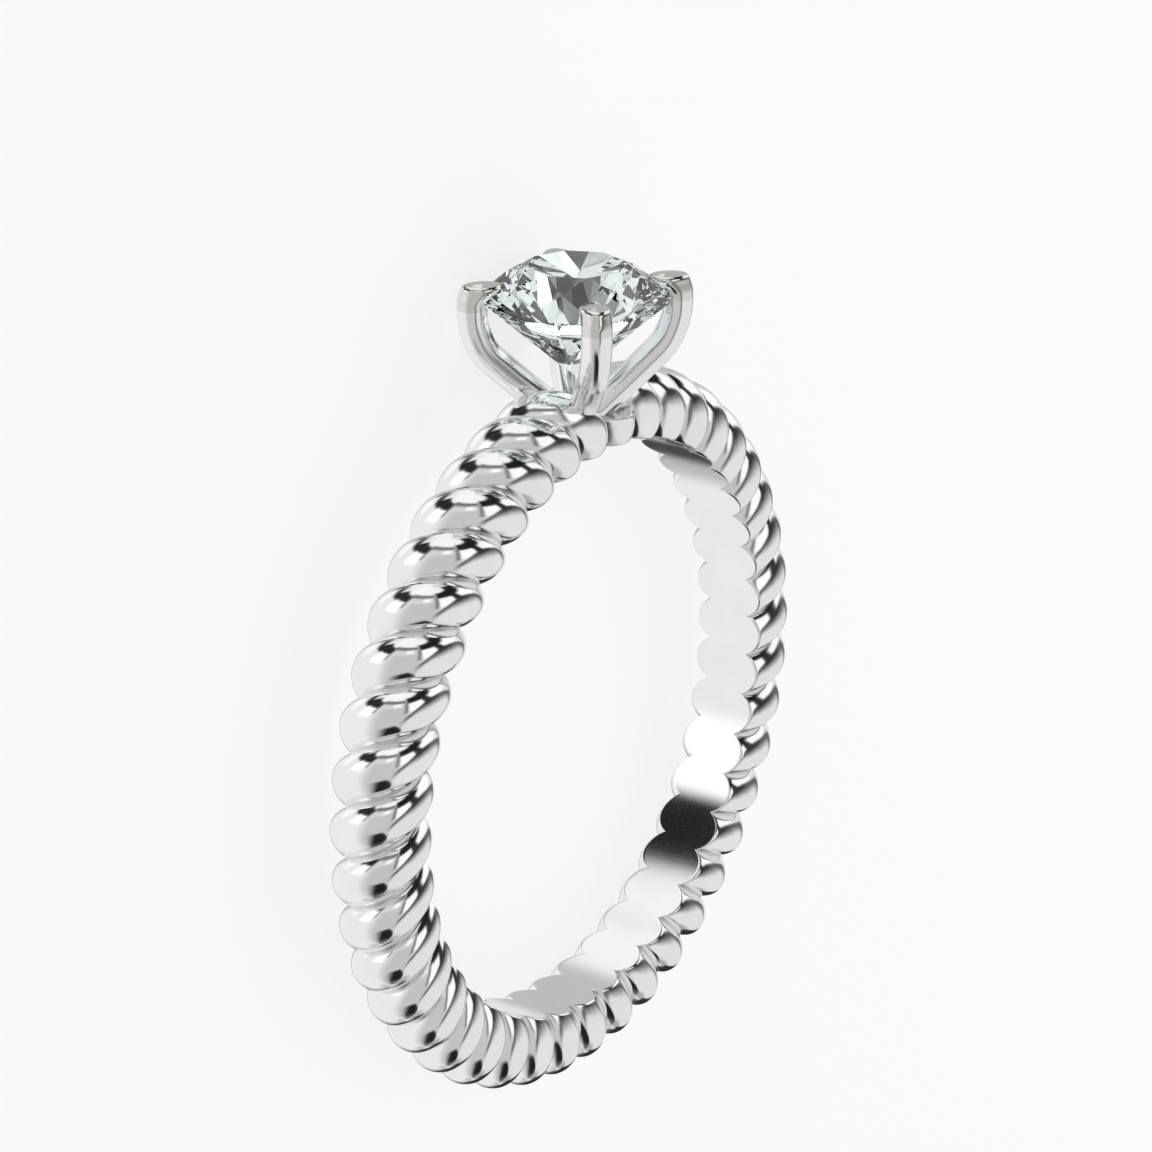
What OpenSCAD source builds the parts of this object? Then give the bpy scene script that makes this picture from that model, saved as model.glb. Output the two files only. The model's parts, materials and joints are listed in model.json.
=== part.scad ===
// Solitaire ring: a flat-bored rope-twist band, a four-claw head and one round brilliant.
// All sizes in millimetres. The ring lies on its side, as it rests on a table:
// the finger hole looks up, the head points to -X and leans on its stone's edge.

/* [Band] */
// Radius of the finger hole (US size 6)
finger_radius = 8.25; // [7.75:0.05:9.5]
// Height of the rope's centre line over the finger hole
rope_lift = 0.81; // [0.78:0.01:0.85]
// Number of rope lobes round the band
lobe_count = 42; // [38:2:46]
// Lobes that a strand gains in one full turn about the rope
lobe_lean = 1.68; // [1.2:0.02:2]
// Outward reach of a lobe's crest, beside the head
crest_out_head = 1.14; // [1.1:0.01:1.3]
// Outward reach of a lobe's crest, opposite the head
crest_out_back = 1.45; // [1.35:0.01:1.55]
// Sideways reach of a lobe's crest, beside the head
crest_side_head = 1.36; // [1.3:0.01:1.45]
// Sideways reach of a lobe's crest, opposite the head
crest_side_back = 1.29; // [1.25:0.01:1.4]
// Outward reach of the crease between lobes, beside the head
crease_out_head = 0.76; // [0.7:0.01:0.9]
// Outward reach of the crease between lobes, opposite the head
crease_out_back = 0.97; // [0.9:0.01:1.1]
// Sideways reach of the crease, beside the head
crease_side_head = 0.9; // [0.85:0.01:1]
// Sideways reach of the crease, opposite the head
crease_side_back = 0.84; // [0.8:0.01:0.95]
// Inward reach of the crease, cut off by the finger hole
crease_in = 1.18; // [1.1:0.01:1.25]
// Roundness of a lobe: radius of its arc over its width
lobe_round = 0.57; // [0.54:0.01:0.8]
// How far the crest leans towards one edge of its lobe
lobe_skew = -0.17; // [-0.3:0.01:0.3]

/* [Head] */
// Height of the flattened lobe that the head stands on, from the ring's centre
seat_height = 9.12; // [9.05:0.01:9.3]
// Radius of a claw's round wire
claw_radius = 0.41; // [0.36:0.01:0.46]
// Distance of a claw's upright part from the head's axis
claw_reach = 2.7; // [2.6:0.01:2.8]
// Lean of a claw's straight part from the head's axis
claw_lean = 47; // [42:1:50]
// Radius of the bend that turns a claw upright
claw_bend = 1.5; // [1.2:0.05:1.8]
// Distance from the head's axis where a claw's wire starts, inside the seat
claw_start = 0.3; // [0.2:0.05:0.5]
// Height where the wire starts, from the ring's centre
claw_foot = 8.95; // [8.9:0.01:9.05]
// Height of the claws' tops, from the ring's centre
claw_top = 13.0; // [12.9:0.01:13.1]
// How far a tip folds inward over the stone
tip_fold = 0.3; // [0.2:0.01:0.4]

/* [Stone] */
// Radius of the stone at its girdle
stone_radius = 2.5; // [2.4:0.01:2.55]
// Height of the girdle's middle, from the ring's centre
girdle_height = 12.38; // [12.3:0.01:12.45]
// Thickness of the girdle
girdle_thickness = 0.1; // [0.06:0.01:0.14]
// Table width as a share of the stone's width
table_ratio = 0.53; // [0.5:0.01:0.6]
// Crown angle
crown_angle = 35.5; // [33:0.5:36]
// Pavilion angle
pavilion_angle = 40.8; // [40:0.2:42]
// Star facets' share of the crown's width
star_share = 0.52; // [0.45:0.01:0.6]
// Lower girdle facets' share of the pavilion's depth
lower_share = 0.77; // [0.7:0.01:0.82]
// Gap between the stone and its claws
stone_gap = 0.04; // [0.03:0.01:0.06]

/* [Resting] */
// Tilt at which the ring lies on its stone's edge and the back of the band
lie_tilt = 3.25; // [3.15:0.01:3.35]
// Height of the ring's centre over the table
lie_height = 1.798; // [1.79:0.001:1.82]
// Shift along X that centres the ring over the origin
lie_shift = 1.416; // [1.35:0.001:1.45]

/* [Hidden] */
$fn = 48;

rope_radius = finger_radius + rope_lift;
pitch = 360 / lobe_count;
lobe_shares = [0, 0.12, 0.3, 0.5, 0.7, 0.88];
turn_rows = [for (b = [-144:18:144]) b];
stations = lobe_count * len(lobe_shares);
rows = len(turn_rows);

metal = [0.83, 0.83, 0.84];
diamond = [0.86, 0.92, 0.95];

// Blend from beside the head (0) to the back of the band (1) at angle a from the head
function back(a) = (1 - cos(a)) / 2;
function mix(p, q, t) = p + (q - p) * t;

// Height of a round lobe at share u of its width: 0 in the crease, 1 on the crest
function skewed(u) = u - 0.5 + lobe_skew * u * (1 - u);
function swell(u) = (sqrt(pow(lobe_round, 2) - pow(skewed(u), 2)) - sqrt(pow(lobe_round, 2) - 0.25))
    / (lobe_round - sqrt(pow(lobe_round, 2) - 0.25));

// Two half ellipses share the sideways reach: one outward, one toward the finger
function out_reach(a, u) = mix(mix(crease_out_head, crease_out_back, back(a)),
    mix(crest_out_head, crest_out_back, back(a)), swell(u));
function in_reach(a, u) = mix(crease_in, mix(crest_side_head, crest_side_back, back(a)), swell(u));
function side_reach(a, u) = mix(mix(crease_side_head, crease_side_back, back(a)),
    mix(crest_side_head, crest_side_back, back(a)), swell(u));

// Point of the rope's skin, in lobe k at share u, at angle b about the rope's centre line
function skin_angle(k, u, b) = (k - 0.5 + u) * pitch + lobe_lean * b / lobe_count;
function skin_raw(a, u, b) = [
    -cos(a) * (rope_radius + cos(b) * (cos(b) > 0 ? out_reach(a, u) : in_reach(a, u))),
    sin(a) * (rope_radius + cos(b) * (cos(b) > 0 ? out_reach(a, u) : in_reach(a, u))),
    side_reach(a, u) * sin(b)];
// The lobe under the head is flattened: its height fades into the seat's
function soft_min(p, q, r) = (p + q - sqrt(pow(p - q, 2) + r * r)) / 2;
function flatten(p, k) = k == 0 ? [-soft_min(-p[0], seat_height, 0.12), p[1], p[2]] : p;
function skin(k, u, b) = flatten(skin_raw(skin_angle(k, u, b), u, b), k);

// Twisted rope, a closed skin whose inner face lies inside the finger hole
module rope() {
    points = [for (k = [0:lobe_count - 1]) for (u = lobe_shares) for (b = turn_rows) skin(k, u, b)];
    faces = [for (i = [0:stations - 1]) for (j = [0:rows - 1])
        let (i2 = (i + 1) % stations, j2 = (j + 1) % rows)
        each [[i * rows + j, i2 * rows + j, i * rows + j2],
              [i2 * rows + j, i2 * rows + j2, i * rows + j2]]];
    polyhedron(points = points, faces = faces, convexity = 8);
}

module band() {
    difference() {
        rope();
        cylinder(r = finger_radius, h = 6, center = true, $fn = 96);
    }
}

// Where the head's axis is +Z and heights count from the ring's centre
module on_head() rotate([0, -90, 0]) children();

// Straight wire up to the bend, the bend, and the upright part
straight_length = (claw_reach - claw_start - claw_bend * (1 - cos(claw_lean))) / sin(claw_lean);
bend_lap = 1.5;
bend_height = claw_foot + straight_length * cos(claw_lean) + claw_bend * sin(claw_lean);

module claw_wire() {
    translate([claw_start, 0, claw_foot]) rotate([0, claw_lean, 0])
        cylinder(r = claw_radius, h = straight_length);
    translate([claw_reach - claw_bend, 0, bend_height]) rotate([90, 0, 0])
        rotate([0, 0, -claw_lean - bend_lap])
        rotate_extrude(angle = claw_lean + 2 * bend_lap)
        translate([claw_bend, 0]) circle(r = claw_radius + 0.005);
    translate([claw_reach, 0, bend_height])
        cylinder(r = claw_radius, h = claw_top - 0.4 - bend_height);
}

// Tip folded inward over the girdle, with a low domed top
module claw_tip() {
    intersection() {
        union() {
            translate([claw_reach, 0, claw_top - 0.45]) cylinder(r = claw_radius, h = 0.5);
            translate([claw_reach - tip_fold, 0, claw_top - 0.45]) cylinder(r = claw_radius, h = 0.5);
            translate([claw_reach - tip_fold, -claw_radius, claw_top - 0.45])
                cube([tip_fold, claw_radius * 2, 0.5]);
        }
        translate([claw_reach - tip_fold / 2, 0, claw_top - 0.75]) sphere(r = 0.75);
    }
}

// Room that the stone needs among the claws, one turned profile
module stone_room() {
    rise = stone_radius * (1 - table_ratio) * tan(crown_angle) + 0.3;
    r = stone_radius + stone_gap;
    low = girdle_height - girdle_thickness / 2 - stone_gap;
    high = girdle_height + girdle_thickness / 2 + stone_gap;
    rotate_extrude() polygon([[0, low - r * tan(pavilion_angle)], [r, low], [r, high],
        [r - rise / tan(crown_angle), high + rise], [0, high + rise]]);
}

module claws() {
    difference() {
        for (turn = [45:90:315]) rotate([0, 0, turn]) {
            claw_wire();
            claw_tip();
        }
        stone_room();
    }
}

module lie() translate([lie_shift, 0, lie_height]) rotate([0, lie_tilt, 0]) children();

module ring_mount() {
    color(metal) lie() union() {
        band();
        on_head() claws();
    }
}

// Round brilliant: table, 8 stars, 8 kites and 16 upper halves over 16 lower halves and 8 mains
module stone() {
    s = 45;
    rt = stone_radius * table_ratio;
    top = girdle_height + girdle_thickness / 2 + (stone_radius - rt) * tan(crown_angle);
    rk = rt * cos(22.5) + star_share * (stone_radius - rt * cos(22.5));
    zk = girdle_height + girdle_thickness / 2 + (stone_radius - rk * cos(22.5)) * tan(crown_angle);
    rl = stone_radius * (1 - lower_share);
    zl = girdle_height - girdle_thickness / 2 - (stone_radius - rl * cos(22.5)) * tan(pavilion_angle);
    point = girdle_height - girdle_thickness / 2 - stone_radius * tan(pavilion_angle);
    corners = concat(
        [for (k = [0:7]) [rt * cos(k * s), rt * sin(k * s), top]],
        [for (k = [0:7]) [rk * cos((k + 0.5) * s), rk * sin((k + 0.5) * s), zk]],
        [for (k = [0:15]) [stone_radius * cos(k * s / 2), stone_radius * sin(k * s / 2),
            girdle_height + girdle_thickness / 2]],
        [for (k = [0:15]) [stone_radius * cos(k * s / 2), stone_radius * sin(k * s / 2),
            girdle_height - girdle_thickness / 2]],
        [for (k = [0:7]) [rl * cos((k + 0.5) * s), rl * sin((k + 0.5) * s), zl]],
        [[0, 0, point]]);
    T = 0; K = 8; G = 16; B = 32; L = 48; C = 56;
    facets = concat(
        [[for (k = [7:-1:0]) T + k]],
        [for (k = [0:7]) [T + k, T + (k + 1) % 8, K + k]],
        [for (k = [0:7]) [T + k, K + k, G + 2 * k]],
        [for (k = [0:7]) [T + k, G + 2 * k, K + (k + 7) % 8]],
        [for (k = [0:7]) [K + k, G + 2 * k + 1, G + 2 * k]],
        [for (k = [0:7]) [K + k, G + (2 * k + 2) % 16, G + 2 * k + 1]],
        [for (k = [0:15]) [G + k, G + (k + 1) % 16, B + (k + 1) % 16]],
        [for (k = [0:15]) [G + k, B + (k + 1) % 16, B + k]],
        [for (k = [0:7]) [L + k, B + 2 * k, B + 2 * k + 1]],
        [for (k = [0:7]) [L + k, B + 2 * k + 1, B + (2 * k + 2) % 16]],
        [for (k = [0:7]) [C, B + 2 * k, L + k]],
        [for (k = [0:7]) [C, L + (k + 7) % 8, B + 2 * k]]);
    color(diamond) lie() on_head() polyhedron(points = corners, faces = facets, convexity = 2);
}

ring_mount();
stone();
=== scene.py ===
import json
import math

import bmesh
import bpy
import numpy as np
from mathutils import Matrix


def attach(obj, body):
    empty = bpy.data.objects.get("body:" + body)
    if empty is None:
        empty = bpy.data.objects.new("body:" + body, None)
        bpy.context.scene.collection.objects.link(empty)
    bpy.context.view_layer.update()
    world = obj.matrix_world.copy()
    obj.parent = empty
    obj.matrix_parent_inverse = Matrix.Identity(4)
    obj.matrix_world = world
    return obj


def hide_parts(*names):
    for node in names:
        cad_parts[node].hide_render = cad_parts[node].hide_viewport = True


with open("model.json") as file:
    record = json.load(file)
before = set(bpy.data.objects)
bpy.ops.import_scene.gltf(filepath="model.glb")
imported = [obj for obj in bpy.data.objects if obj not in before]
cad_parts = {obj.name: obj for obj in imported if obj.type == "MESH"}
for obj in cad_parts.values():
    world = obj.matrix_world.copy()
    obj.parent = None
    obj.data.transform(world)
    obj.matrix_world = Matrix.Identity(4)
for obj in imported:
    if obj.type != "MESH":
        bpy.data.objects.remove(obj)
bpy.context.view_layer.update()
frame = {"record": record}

# The band. Cast white gold under bright rhodium plate, modelled as a rope of 42 twisted lobes that
# grow towards the back of the finger and are cut off inside by the smooth round finger hole. The
# lobe under the head is filed flat. Polishing doesn't reach the sharp creases, which stay satin.
# Sizes are in millimetres, a pair's first one at the head and its second at the back. The hole's
# edge is in degrees about the rope's middle, first in the creases and then on the crests.
bore = frame["record"]["mounts"][0]
FINGER = bore["dims"]["r_mm"]
SHIFT = bore["pos_m"][0] * 1000
LIFT = bore["pos_m"][2] * 1000
TILT = math.atan2(bore["axis"][0], bore["axis"][2])
ROPE = FINGER + 0.81
LOBES = 42
PER_LOBE = 24
LEAN = 1.68
SKEW = 0.17
ARC = 0.57
CREST_OUT = 1.14, 1.45
CREST_SIDE = 1.36, 1.29
CREASE_OUT = 0.76, 0.97
CREASE_SIDE = 0.9, 0.84
CREASE_IN = 1.18
HOLE_EDGE = 133.5, 127
HOLE_ROUND = 0.06
SEAT = 9.12
SEAT_ROUND = 0.24
SEAT_POLISH = 0.12


def laid(p):
    """Points of the upright ring in millimetres, head to -X, become metres as the ring lies: turned
    by TILT about Y, so that x' = x cos t + z sin t and z' = z cos t - x sin t, then shifted."""
    c, s = math.cos(TILT), math.sin(TILT)
    x = p[..., 0] * c + p[..., 2] * s + SHIFT
    z = p[..., 2] * c - p[..., 0] * s + LIFT
    return np.stack([x, p[..., 1], z], -1) / 1000


def between(p, q, t):
    """p + (q - p) t."""
    return p + (q - p) * t


def ramp(t):
    """Smooth step of t: 3 t^2 - 2 t^3, held at 0 and 1."""
    t = np.clip(t, 0, 1)
    return t * t * (3 - 2 * t)


def greater(p, q, blend):
    """The greater of p and q, plus blend h^2 / 4 where they are within blend (1 - h) of each other."""
    return np.maximum(p, q) + blend / 4 * np.maximum(1 - np.abs(p - q) / blend, 0) ** 2


def rope_skin():
    """Grid of stations along the rope by turns b about its middle. A station at share u of lobe k
    lies at the angle a = (k - 1/2 + u) pitch + lean b / lobes. The lobe's height over its creases
    is a circle's arc in w = u - 1/2 - skew u (1 - u), so its crest leans to one side. The skin
    stands rope + reach cos b from the ring's axis and side sin b off its plane; the greater of
    that and the finger's radius cuts the hole. In the hole the rows also run one lobe on, so that
    they cross it straight and end at the next lobe's station. The polish is 0 in the creases."""
    u = 0.5 - 0.5 * np.cos(np.pi * np.arange(PER_LOBE) / PER_LOBE)
    lobe = np.repeat(np.arange(LOBES), PER_LOBE)[:, None]
    u = np.tile(u, LOBES)[:, None]
    w = u - 0.5 - SKEW * u * (1 - u)
    arc, foot = np.sqrt(ARC**2 - w**2), math.sqrt(ARC**2 - 0.25)
    swell = (arc - foot) / (ARC - foot)
    outside = np.concatenate([[-1, -0.994, -0.987, -0.979, -0.97, -0.958], np.linspace(-0.94, 0.94, 57),
                              [0.958, 0.97, 0.979, 0.987, 0.994]])
    inside = np.concatenate([[1, 1.01, 1.022, 1.036, 1.055, 1.08], np.linspace(1.12, 1.88, 9),
                             [1.92, 1.945, 1.964, 1.978, 1.99]])
    share = np.concatenate([outside, inside])[None, :]
    edge = between(*np.radians(HOLE_EDGE), swell)
    b = np.where(share <= 1, share * edge, edge + (share - 1) * (2 * np.pi - 2 * edge))
    twist = np.where(share <= 1, b, edge * (3 - 2 * share))
    a = (lobe - 0.5 + u + np.maximum(share - 1, 0)) * 2 * np.pi / LOBES + LEAN * twist / LOBES
    back = (1 - np.cos(a)) / 2
    out = between(between(*CREASE_OUT, back), between(*CREST_OUT, back), swell)
    to_finger = between(CREASE_IN, between(*CREST_SIDE, back), swell)
    side = between(between(*CREASE_SIDE, back), between(*CREST_SIDE, back), swell)
    from_axis = ROPE + np.cos(b) * np.where(np.cos(b) > 0, out, to_finger)
    from_axis = greater(from_axis, FINGER, HOLE_ROUND)
    height = from_axis * np.cos(a)
    height = np.where(lobe == 0, -greater(-height, -SEAT, SEAT_ROUND), height)
    in_hole = np.abs(share) > 1
    polish = np.where(in_hole, 1, np.where(lobe == 0, SEAT_POLISH, swell))
    return np.stack([-height, from_axis * np.sin(a), side * np.sin(b)], -1), in_hole[0], polish


def closed_mesh(name, points, quads, triangles=None):
    """A mesh of quads and triangles, turned so that its faces point outwards: the signed volume
    sum of p0 . (p1 x p2) / 6 over the faces is made positive."""
    triangles = np.zeros((0, 3), int) if triangles is None else triangles
    fan = np.concatenate([quads[:, [0, 1, 2]], quads[:, [0, 2, 3]], triangles])
    p = points[fan]
    if np.einsum("ij,ij->", p[:, 0], np.cross(p[:, 1], p[:, 2])) < 0:
        quads, triangles = quads[:, ::-1], triangles[:, ::-1]
    corners = np.concatenate([quads.ravel(), triangles.ravel()])
    starts = np.concatenate([np.arange(len(quads)) * 4, quads.size + np.arange(len(triangles)) * 3])
    mesh = bpy.data.meshes.new(name)
    mesh.vertices.add(len(points))
    mesh.vertices.foreach_set("co", points.astype(np.float32).ravel())
    mesh.loops.add(len(corners))
    mesh.loops.foreach_set("vertex_index", corners.astype(np.int32))
    mesh.polygons.add(len(starts))
    mesh.polygons.foreach_set("loop_start", starts.astype(np.int32))
    mesh.update(calc_edges=True)
    mesh.polygons.foreach_set("use_smooth", np.ones(len(mesh.polygons), bool))
    mesh.validate()
    piece = bpy.data.objects.new(name, mesh)
    bpy.context.scene.collection.objects.link(piece)
    return piece


class Lead:
    """One output of a shader node. + - * / on leads and numbers add Math nodes."""

    def __init__(self, tree, socket=None):
        self.tree, self.socket = tree, socket

    def make(self, kind, settings=None, values=None, out=0):
        """Adds a node of that kind: its settings first, then the values or leads of its inputs."""
        node = self.tree.nodes.new(kind)
        for key, value in (settings or {}).items():
            setattr(node, key, value)
        for key, value in (values or {}).items():
            if isinstance(value, Lead):
                self.tree.links.new(value.socket, node.inputs[key])
            else:
                node.inputs[key].default_value = value
        return Lead(self.tree, node.outputs[out])

    def maths(self, operation, *values):
        """That operation of a Math node on one or two values."""
        return self.make("ShaderNodeMath", {"operation": operation}, dict(enumerate(values)))

    def __add__(self, other):
        return self.maths("ADD", self, other)

    def __radd__(self, other):
        return self.maths("ADD", other, self)

    def __sub__(self, other):
        return self.maths("SUBTRACT", self, other)

    def __rsub__(self, other):
        return self.maths("SUBTRACT", other, self)

    def __mul__(self, other):
        return self.maths("MULTIPLY", self, other)

    def __rmul__(self, other):
        return self.maths("MULTIPLY", other, self)

    def __truediv__(self, other):
        return self.maths("DIVIDE", self, other)

    def dot(self, x, y, z):
        """This vector . (x, y, z)."""
        return self.make("ShaderNodeVectorMath", {"operation": "DOT_PRODUCT"}, {0: self, 1: (x, y, z)},
                         "Value")

    def step(self, low, high):
        """Smooth step from 0 at low to 1 at high."""
        return self.make("ShaderNodeMapRange", {"interpolation_type": "SMOOTHSTEP"},
                         {"Value": self, "From Min": low, "From Max": high})

    def tint(self, low, high):
        """Colour that goes from low to high as this value goes from 0 to 1."""
        return self.make("ShaderNodeMix", {"data_type": "RGBA"}, {0: self, 6: (*low, 1), 7: (*high, 1)}, 2)

    def feed(self, node, name):
        """Links this lead to the input of that name."""
        self.tree.links.new(self.socket, node.inputs[name])


def new_material(name):
    """A Principled material, its shader node and a lead to build with."""
    material = bpy.data.materials.new(name)
    material.use_nodes = True
    return material, material.node_tree.nodes["Principled BSDF"], Lead(material.node_tree)


def cloud(where, scale, detail):
    """Soft noise of that many clouds to the metre, round 0.5."""
    return where.make("ShaderNodeTexNoise", {}, {"Vector": where, "Scale": scale, "Detail": detail}, "Fac")


skin, hole_rows, polish = rope_skin()
stations, turns, _ = skin.shape
station, turn = np.arange(stations)[:, None], np.arange(turns)[None, :]
next_turn, lobe_on = (turn + 1) % turns, PER_LOBE * (turn == turns - 1)
quads = np.stack([station * turns + turn,
                  (station + 1) % stations * turns + turn,
                  (station + 1 + lobe_on) % stations * turns + next_turn,
                  (station + lobe_on) % stations * turns + next_turn], -1).reshape(-1, 4)
band = closed_mesh("band", laid(skin).reshape(-1, 3), quads)
ends = np.empty(len(band.data.edges) * 2, np.int32)
band.data.edges.foreach_get("vertices", ends)
at_station, at_turn = np.divmod(ends.reshape(-1, 2), turns)
crease = (at_station[:, 0] == at_station[:, 1]) & (at_station[:, 0] % PER_LOBE == 0)
crease &= ~hole_rows[at_turn].any(1)
band.data.attributes.new("sharp_edge", "BOOLEAN", "EDGE").data.foreach_set("value", crease)
polish_layer = band.data.attributes.new("polish", "FLOAT", "POINT")
polish_layer.data.foreach_set("value", polish.astype(np.float32).ravel())

PLATE_SHADE = 0.885, 0.885, 0.89
PLATE_LIGHT = 0.915, 0.915, 0.915
SATIN = 0.3
POLISHED = 0.08
HAZE_SCALE = 900
WISP_SCALE = 5200
white_gold, shader, lead = new_material("rhodium_plated_white_gold")
shader.inputs["Metallic"].default_value = 1
where = lead.make("ShaderNodeTexCoord", out="Object")
haze = cloud(where, HAZE_SCALE, 3)
wisps = cloud(where, WISP_SCALE, 2)
haze.step(0.35, 0.7).tint(PLATE_SHADE, PLATE_LIGHT).feed(shader, "Base Color")
reached = lead.make("ShaderNodeAttribute", {"attribute_name": "polish"}, out="Fac").step(0, 0.32)
roughness = SATIN - (SATIN - POLISHED) * reached + 0.03 * haze.step(0.3, 0.75) + 0.01 * wisps
roughness.feed(shader, "Roughness")
band.data.materials.append(white_gold)
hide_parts("ring_mount")
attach(band, "root")
band.visible_transmission = False

# The head. Four round wires of the same gold, soldered together and to the filed lobe, spread out,
# bent upright and dressed over the stone: each tip is pushed inward and given a low dome, and a
# notch cut in its inner side takes the stone's edge. The tips are painted a darker, duller grey: this
# is painted shade that stands in for the darker reflections on the tips.
WIRE = 0.41
START = 0.3
REACH = 2.7
FOOT = 8.95
CLAW_LEAN = math.radians(47)
BEND = 1.5
SHOULDER = 12.74
SHOULDER_ROUND = 0.13
SHOULDER_INSET = 0.15
DOME = 0.05
FOLD = 0.3
FOLD_START = 12.35
NOD = 0.125
BELLY = 0.075
BELLY_START = 11.3
STONE = 2.5
EDGE = 0.05
GIRDLE = 12.38
CROWN = math.tan(math.radians(35.5))
PAVILION = math.tan(math.radians(40.8))
NOTCH_GAP = 0.02


def claw_skin(around=56):
    """Rows of ovals along one wire, as (out, across, height) from the head's axis, and the points
    that close its two ends. The middle runs straight at the claw's lean, round the bend and up.
    With lean t, the oval's long axis is (cos t, -sin t). The wire bellies out a little, and over
    the tip it nods in and the oval grows inward by the fold, all as smooth steps of the height.
    The shoulder is rounded off as (1 - cos e, sin e), and a dome 1 - s^2 closes it."""
    rise = (REACH - START - BEND * (1 - math.cos(CLAW_LEAN))) / math.sin(CLAW_LEAN)
    bent = FOOT + rise * math.cos(CLAW_LEAN) + BEND * math.sin(CLAW_LEAN)
    along = np.linspace(0, rise, 14)[:-1]
    turning = np.linspace(CLAW_LEAN, 0, 20)
    up = np.linspace(bent, SHOULDER, 34)[1:]
    edge = np.radians(np.linspace(0, 90, 9)[1:])
    dome = np.linspace(1, 0, 8)[1:-1]
    straight = len(up) + len(edge) + len(dome)
    t = np.concatenate([np.full(len(along), CLAW_LEAN), turning, np.zeros(straight)])
    out = np.concatenate([START + along * math.sin(CLAW_LEAN), REACH - BEND + BEND * np.cos(turning),
                          np.full(straight, REACH)])
    high = np.concatenate([FOOT + along * math.cos(CLAW_LEAN), bent - BEND * np.sin(turning), up,
                           SHOULDER + SHOULDER_ROUND * np.sin(edge),
                           SHOULDER + SHOULDER_ROUND + DOME * (1 - dome**2)])
    fold = FOLD * ramp((high - FOLD_START) / 0.4)
    inset = np.concatenate([np.zeros(len(along) + len(turning) + len(up)),
                            SHOULDER_INSET * (1 - np.cos(edge)), np.full(len(dome), SHOULDER_INSET)])
    shrink = np.concatenate([np.ones(len(high) - len(dome)), dome])
    nod = NOD * ramp((high - FOLD_START) / 0.6) - BELLY * ramp((high - BELLY_START) / 0.8)
    a = np.arange(around) * 2 * np.pi / around
    long = ((WIRE + fold / 2 - inset) * shrink)[:, None] * np.cos(a)
    wide = ((WIRE - inset) * shrink)[:, None] * np.sin(a)
    x = (out - fold / 2 - nod)[:, None] + long * np.cos(t)[:, None]
    z = high[:, None] - long * np.sin(t)[:, None]
    peak = [REACH - FOLD / 2 - NOD + BELLY, 0, SHOULDER + SHOULDER_ROUND + DOME]
    return np.stack([x, wide, z], -1), np.array([[START, 0, FOOT], peak])


def notched(p):
    """Metal inside the stone's room is pushed straight out to it: the room is a cone of the
    pavilion's slope under the stone's edge and one of the crown's slope over it, a gap wider."""
    far = np.hypot(p[..., 0], p[..., 1])
    under = STONE + NOTCH_GAP - (GIRDLE - EDGE - NOTCH_GAP - p[..., 2]) / PAVILION
    over = STONE + NOTCH_GAP - (p[..., 2] - GIRDLE - EDGE - NOTCH_GAP) / CROWN
    room = np.minimum(np.minimum(under, over), STONE + NOTCH_GAP)
    push = np.where(far < room, room / np.maximum(far, 1e-6), 1)
    return np.stack([p[..., 0] * push, p[..., 1] * push, p[..., 2]], -1)


rows, poles = claw_skin()
count, around, _ = rows.shape
row, spoke = np.arange(count - 1)[:, None], np.arange(around)[None, :]
next_spoke = (spoke + 1) % around
quads = np.stack([row * around + spoke, (row + 1) * around + spoke,
                  (row + 1) * around + next_spoke, row * around + next_spoke], -1).reshape(-1, 4)
foot_pole, tip_pole = count * around, count * around + 1
last_row = (count - 1) * around
spoke, next_spoke = spoke[0], next_spoke[0]
caps = np.concatenate([
    np.stack([np.full(around, foot_pole), spoke, next_spoke], -1),
    np.stack([last_row + spoke, np.full(around, tip_pole), last_row + next_spoke], -1)])
wire = np.concatenate([rows.reshape(-1, 3), poles])
points, all_quads, all_caps = [], [], []
for n, corner in enumerate(np.radians([45, 135, 225, 315])):
    c, s = math.cos(corner), math.sin(corner)
    turned = np.stack([wire[:, 0] * c - wire[:, 1] * s, wire[:, 0] * s + wire[:, 1] * c, wire[:, 2]], -1)
    claw = notched(turned)
    points.append(np.stack([-claw[:, 2], claw[:, 1], claw[:, 0]], -1))
    all_quads.append(quads + n * len(wire))
    all_caps.append(caps + n * len(wire))
claws = closed_mesh("claws", laid(np.concatenate(points)), np.concatenate(all_quads),
                    np.concatenate(all_caps))

WIRE_COLOUR = 0.9, 0.9, 0.902
# Painted shade: the tips are painted this darker grey to stand in for their darker reflections.
PAINTED_TIP_SHADE = 0.745, 0.755, 0.715
WIRE_ROUGHNESS = 0.17
TIP_ROUGHNESS = 0.05
claw_gold, shader, lead = new_material("white_gold_with_painted_shade_on_tips")
shader.inputs["Metallic"].default_value = 1
where = lead.make("ShaderNodeTexCoord", out="Object")
height = where.dot(-math.cos(TILT) * 1000, 0, math.sin(TILT) * 1000) + (
    SHIFT * math.cos(TILT) - LIFT * math.sin(TILT))
haze = cloud(where, HAZE_SCALE, 3)
# Painted shade: near the top of each claw the wire's colour turns to the darker tip grey.
height.step(12.18, 12.24).tint(WIRE_COLOUR, PAINTED_TIP_SHADE).feed(shader, "Base Color")
roughness = (WIRE_ROUGHNESS - (WIRE_ROUGHNESS - TIP_ROUGHNESS) * height.step(10.6, 12.2)
             + 0.03 * haze.step(0.3, 0.75))
roughness.feed(shader, "Roughness")
claws.data.materials.append(claw_gold)
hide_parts("ring_mount")
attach(claws, "root")
claws.visible_transmission = False

# The stone. A colourless round brilliant of 5 mm, cut plane by plane as on a lap: table, 8 kites,
# 8 stars and 16 halves on the crown, 8 mains and 16 halves on the pavilion, and a polished edge
# that the halves scallop. It is held by the four claws alone.
TABLE = STONE * 0.53
STAR_SHARE = 0.52
HALVES_END = STONE * 0.23
MID_EDGE = math.cos(math.radians(22.5))


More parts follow.
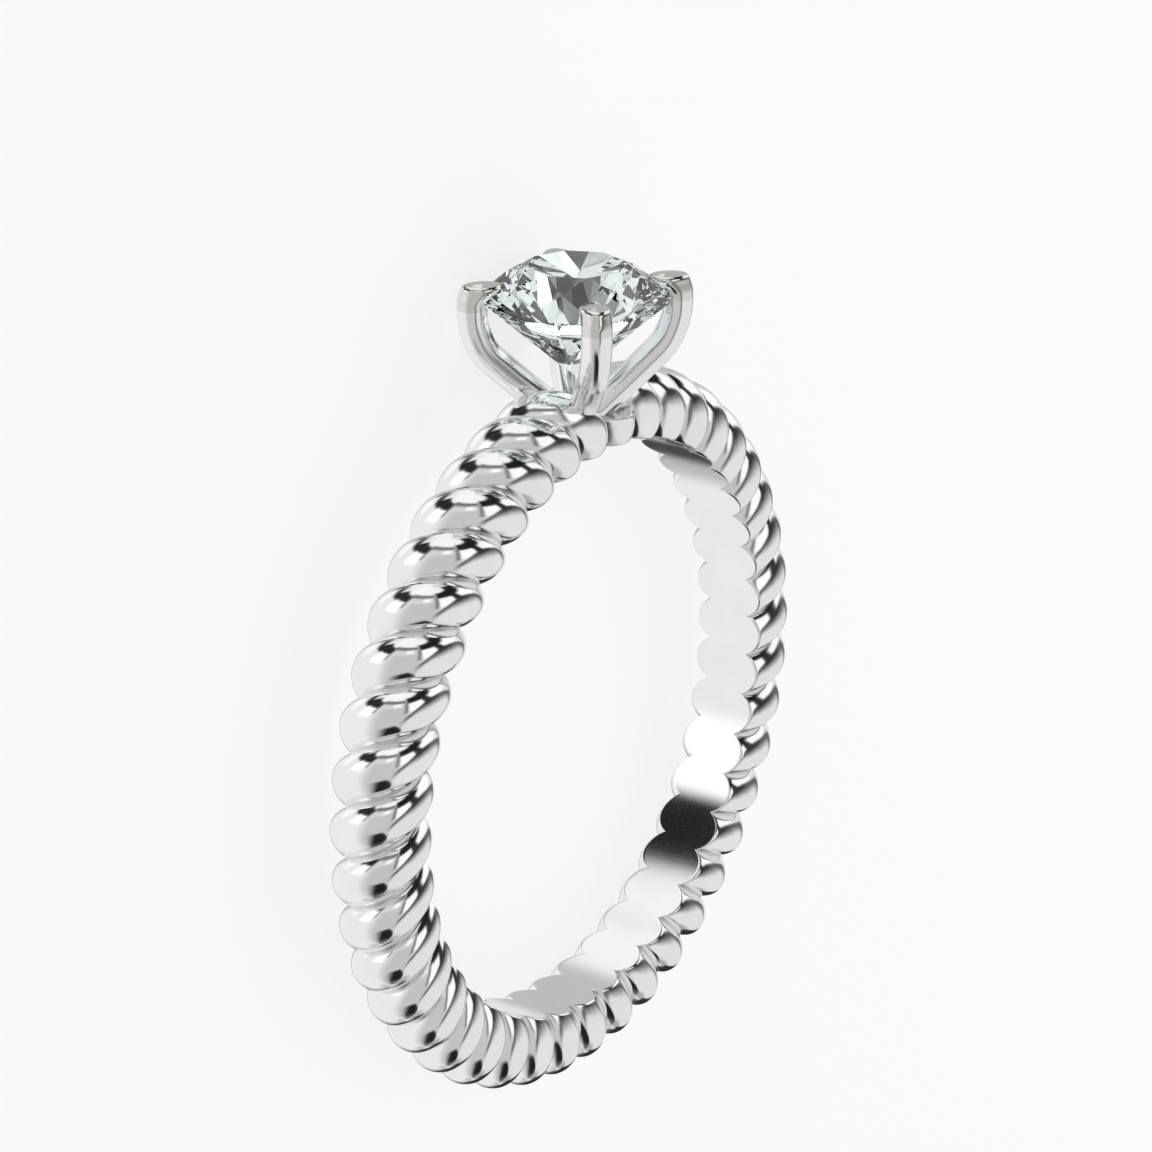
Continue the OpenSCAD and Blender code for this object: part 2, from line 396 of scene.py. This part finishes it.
def facet(*points):
    """The plane through three points, as a point and the normal that points away from the axis'
    middle."""
    a, b, c = (np.array(p, float) for p in points)
    normal = np.cross(b - a, c - a)
    normal /= np.linalg.norm(normal)
    return a, normal if normal @ (a - (0, 0, EDGE)) > 0 else -normal


def on_circle(radius, degrees, z):
    """The point (r cos a, r sin a, z)."""
    return (radius * math.cos(math.radians(degrees)), radius * math.sin(math.radians(degrees)), z)


table_z = EDGE + (STONE - TABLE) * CROWN
star = TABLE * MID_EDGE + STAR_SHARE * (STONE - TABLE * MID_EDGE)
star_z = EDGE + (STONE - star * MID_EDGE) * CROWN
halves_z = -EDGE - (STONE - HALVES_END * MID_EDGE) * PAVILION
culet = (0, 0, -EDGE - STONE * PAVILION)
planes = [(np.array([0, 0, table_z]), np.array([0, 0, 1.0]))]
for n in range(8):
    at = 45 * n
    corner, next_corner = on_circle(TABLE, at, table_z), on_circle(TABLE, at + 45, table_z)
    star_tip = on_circle(star, at + 22.5, star_z)
    halves_tip = on_circle(HALVES_END, at + 22.5, halves_z)
    planes.append(facet(corner, star_tip, on_circle(STONE, at, EDGE)))
    planes.append(facet(corner, next_corner, star_tip))
    planes.append(facet(culet, halves_tip, on_circle(STONE, at, -EDGE)))
    for near in (at, at + 45):
        planes.append(facet(star_tip, on_circle(STONE, near, EDGE), on_circle(STONE, at + 22.5, EDGE)))
        planes.append(facet(halves_tip, on_circle(STONE, near, -EDGE), on_circle(STONE, at + 22.5, -EDGE)))
rough = bmesh.new()
bmesh.ops.create_cone(rough, cap_ends=True, segments=144, radius1=STONE, radius2=STONE, depth=6)
for corner, normal in planes:
    cut = bmesh.ops.bisect_plane(rough, geom=rough.verts[:] + rough.edges[:] + rough.faces[:], dist=1e-5,
                                 plane_co=corner, plane_no=normal, clear_outer=True)
    rim = [e for e in cut["geom_cut"] if isinstance(e, bmesh.types.BMEdge)]
    if len(rim) > 2:
        bmesh.ops.contextual_create(rough, geom=rim)
bmesh.ops.remove_doubles(rough, verts=rough.verts[:], dist=2e-4)
bmesh.ops.recalc_face_normals(rough, faces=rough.faces[:])
mesh = bpy.data.meshes.new("brilliant")
rough.to_mesh(mesh)
rough.free()
places = np.empty(len(mesh.vertices) * 3, np.float32)
mesh.vertices.foreach_get("co", places)
places = places.reshape(-1, 3).astype(float)
placed = laid(np.stack([-(places[:, 2] + GIRDLE), places[:, 1], places[:, 0]], -1))
mesh.vertices.foreach_set("co", placed.astype(np.float32).ravel())
mesh.update()
brilliant = bpy.data.objects.new("brilliant", mesh)
bpy.context.scene.collection.objects.link(brilliant)

DIAMOND_SHADE = 0.9, 0.975, 0.985
DIAMOND_LIGHT = 0.93, 0.99, 1.0
CLOUD_SCALE = 700
diamond, shader, lead = new_material("colourless_diamond")
shader.inputs["IOR"].default_value = 2.417
shader.inputs["Transmission Weight"].default_value = 1
shader.inputs["Roughness"].default_value = 0
shader.inputs["Specular Tint"].default_value = (0.4, 0.4, 0.4, 1)
where = lead.make("ShaderNodeTexCoord", out="Object")
cloud(where, CLOUD_SCALE, 2).step(0.3, 0.75).tint(DIAMOND_SHADE, DIAMOND_LIGHT).feed(shader, "Base Color")
brilliant.data.materials.append(diamond)
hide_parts("stone")
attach(brilliant, "root")

# The table it lies on, pale and plain, with a glow of its own that keeps it even. The metal and the
# stone mirror the studio and not the table.
bpy.ops.mesh.primitive_circle_add(vertices=96, radius=3, fill_type="NGON")
floor = bpy.context.object
floor.name = "floor"
floor.visible_glossy = False
floor.visible_transmission = False
pale, shader, lead = new_material("pale_table")
shader.inputs["Roughness"].default_value = 1
shader.inputs["Base Color"].default_value = (0.35, 0.35, 0.35, 1)
shader.inputs["Specular IOR Level"].default_value = 0
shader.inputs["Emission Color"].default_value = (1, 1, 1, 1)
shader.inputs["Emission Strength"].default_value = 0.722
floor.data.materials.append(pale)

# The studio: light walls, a broad overhead panel, tall side windows and the dark gaps between them.
# The stone has a light tent of its own, and the metal isn't seen through it, so its facets are crisp.
# Heights are counted towards the ring's head, the top of the picture, and sides from the camera, in
# degrees. Rows of panels give left, right, bottom, top, soft edge and brightness.
WALL = 0.6
LEFT_WALL = 0.3
RIGHT_WALL = 0.22
TENT = 0.9
BACKDROP = 0.94
DEGREES = 57.2958
STUDIO_PANELS = (
    (22, 150, 22, 56, 6, 0.25),
    (-146, -118, 8, 31, 4, 1.05),
    (-92, -59, 10, 39, 3.5, 1.15),
    (-160, -146, 19, 40, 5, 0.06),
    (-146, -112, 33, 46, 5, 0.04),
    (-118, -92, 34, 59, 3, 0.02),
    (-94, -54, 38, 59, 3, 0.02),
    (-46, 12, 34, 53, 5, 0.72),
    (-14, 5, 38, 50, 4, 1.1),
    (-58, -52, 22, 52, 4, 0.2),
    (-66, 18, 53, 66, 4.5, 0.2),
    (-220, -70, 60, 100, 3, 1.0),
    (-220, 16, 66, 100, 4, 1.03),
    (24, 66, 10, 46, 4, 1.08),
    (91, 148, 14, 47, 5, 1.08),
    (66, 88, 24, 60, 5, 0.03),
    (22, 150, 48, 72, 4, 0.015),
    (16, 23, 6, 52, 5, 0.15),
    (16, 220, 74, 100, 4, 1.0),
    (156, 250, -5, 62, 6, 0.55),
    (-250, -156, -36, 38, 6, 0.55),
    (-250, -152, 40, 62, 5, 1.0),
    (-250, -146, -80, -46, 12, 0.5),
    (-250, -163, -80, -33, 6, 0.07),
    (-220, -60, -100, -76, 6, 0.6),
    (-10, 140, -100, -68, 6, 0.45))
TENT_PANELS = (
    (-30, 95, 50, 72, 4, 0.05),
    (-130, -50, 8, 34, 4, 0.3),
    (-42, 24, 0, 34, 4, 0.03),
    (62, 95, 8, 52, 4, 0.06),
    (110, 150, 30, 52, 4, 0.1),
    (-150, -100, 30, 52, 4, 0.1),
    (-220, -140, 10, 30, 3, 1.6),
    (145, 220, 10, 30, 3, 1.3),
    (-220, -136, -60, -12, 4, 0.14),
    (136, 220, -60, -12, 4, 0.02),
    (-220, -140, -12, 9, 3, 0.0),
    (145, 220, -12, 9, 3, 0.0),
    (92, 136, -36, 9, 4, 1.3),
    (-120, -24, -100, -60, 4, 0.5),
    (-24, 40, -100, -60, 4, 0.06),
    (40, 120, -100, -60, 4, 1.3))
world = bpy.data.worlds.new("studio")
bpy.context.scene.world = world
world.use_nodes = True
world.cycles.sampling_method = "NONE"
lead = Lead(world.node_tree)
toward = lead.make("ShaderNodeTexCoord", out="Generated")
to_head = toward.dot(-0.99839, 0, 0.05669)
to_camera = toward.dot(0.03149, -0.83151, 0.55461)
to_right = toward.dot(0.04714, 0.5555, 0.83018)
height = lead.maths("ARCSINE", to_head) * DEGREES
side = lead.maths("ARCTAN2", to_right, to_camera) * DEGREES


def covered(wall, mask, bright):
    """The wall's brightness where the mask is 0 and the other where it is 1: w + m (b - w)."""
    return wall + mask * (bright - wall)


def hung(wall, panels):
    """The wall with panels hung over it one by one. A panel's mask is the product of four smooth
    steps, up at its left and bottom and down at its right and top, each twice the soft edge wide."""
    for left, right, bottom, top, soft, bright in panels:
        across = side.step(left - soft, left + soft) * (1 - side.step(right - soft, right + soft))
        along = height.step(bottom - soft, bottom + soft) * (1 - height.step(top - soft, top + soft))
        wall = covered(wall, across * along, bright)
    return wall


light = hung(WALL + LEFT_WALL * (1 - side.step(-62, -30)) + RIGHT_WALL * side.step(18, 32), STUDIO_PANELS)

# To the right stands a dark arch: its edge is the parabola top - curve (side - middle)^2, and under
# it the dark fades away downwards. Two dark gaps with slanting edges lie low, near and far.
ARCH_MIDDLE = 84
ARCH_TOP = 24
ARCH_CURVE = 0.0105
NEAR_GAP = 0.015
FAR_GAP = 0.03
off_middle = lead.maths("ABSOLUTE", side - ARCH_MIDDLE)
below_arch = ARCH_TOP - ARCH_CURVE * off_middle * off_middle - height
fade = below_arch / (35 - 14 * off_middle.step(10, 46))
arch = side.step(12, 26) * (1 - side.step(146, 158)) * below_arch.step(-12, -4) * (1 - fade.step(0, 1))
light = covered(light, arch, 0.04 + 0.1 * off_middle.step(10, 42))
near_gap = side.step(-36, -6) * (1 - (side + height).step(-29, -23)) * (1 - height.step(-36, -27))
light = covered(light, near_gap * (1 - 0.4 * (0 - height).step(66, 88)), NEAR_GAP)
far_gap = (side - height).step(195, 203) * (1 - height.step(-39, -34)) * height.step(-80, -70)
light = covered(light, far_gap, FAR_GAP)


def glow(strength):
    """A plain white glow of that strength."""
    return lead.make("ShaderNodeBackground", {}, {"Color": (1, 1, 1, 1), "Strength": strength})


in_stone = lead.make("ShaderNodeLightPath", out="Is Transmission Ray")
seen = lead.make("ShaderNodeLightPath", out="Is Camera Ray")
tent = hung(TENT, TENT_PANELS)
lighting = lead.make("ShaderNodeMixShader", {}, {0: in_stone, 1: glow(light), 2: glow(tent)})
surroundings = lead.make("ShaderNodeMixShader", {}, {0: seen, 1: lighting, 2: glow(BACKDROP)})
surroundings.feed(world.node_tree.nodes["World Output"], "Surface")

# A broad soft lamp to the right gives the table its faint shadow; the metal doesn't mirror it.
lamp = bpy.data.lights.new("soft_lamp", "AREA")
lamp.shape = "RECTANGLE"
lamp.size = 0.2
lamp.size_y = 0.2
lamp.energy = 0.1
lamp_object = bpy.data.objects.new("soft_lamp", lamp)
lamp_object.location = (-0.05, 0.16, 0.2)
lamp_object.rotation_euler = (math.radians(-39), math.radians(-11), 0)
lamp_object.visible_glossy = False
lamp_object.visible_transmission = False
bpy.context.scene.collection.objects.link(lamp_object)

# The camera, where the picture was taken from: close, with a long lens, and turned so that the
# head points up in the frame. Light may bounce often enough to find its way out of the stone.
view = bpy.data.cameras.new("camera")
view.lens = 100.29
view.sensor_width = 36
view.clip_start = 0.005
view.clip_end = 20
view.dof.use_dof = False
camera = bpy.data.objects.new("camera", view)
camera.location = (-0.033358, -0.067776, 0.049124)
camera.rotation_euler = [math.radians(v) for v in (-16.146, -56.129, 85.077)]
bpy.context.scene.collection.objects.link(camera)
bpy.context.scene.camera = camera
bpy.context.scene.view_settings.view_transform = "Standard"
bpy.context.scene.cycles.max_bounces = 16
bpy.context.scene.cycles.transmission_bounces = 16
bpy.context.scene.cycles.glossy_bounces = 8
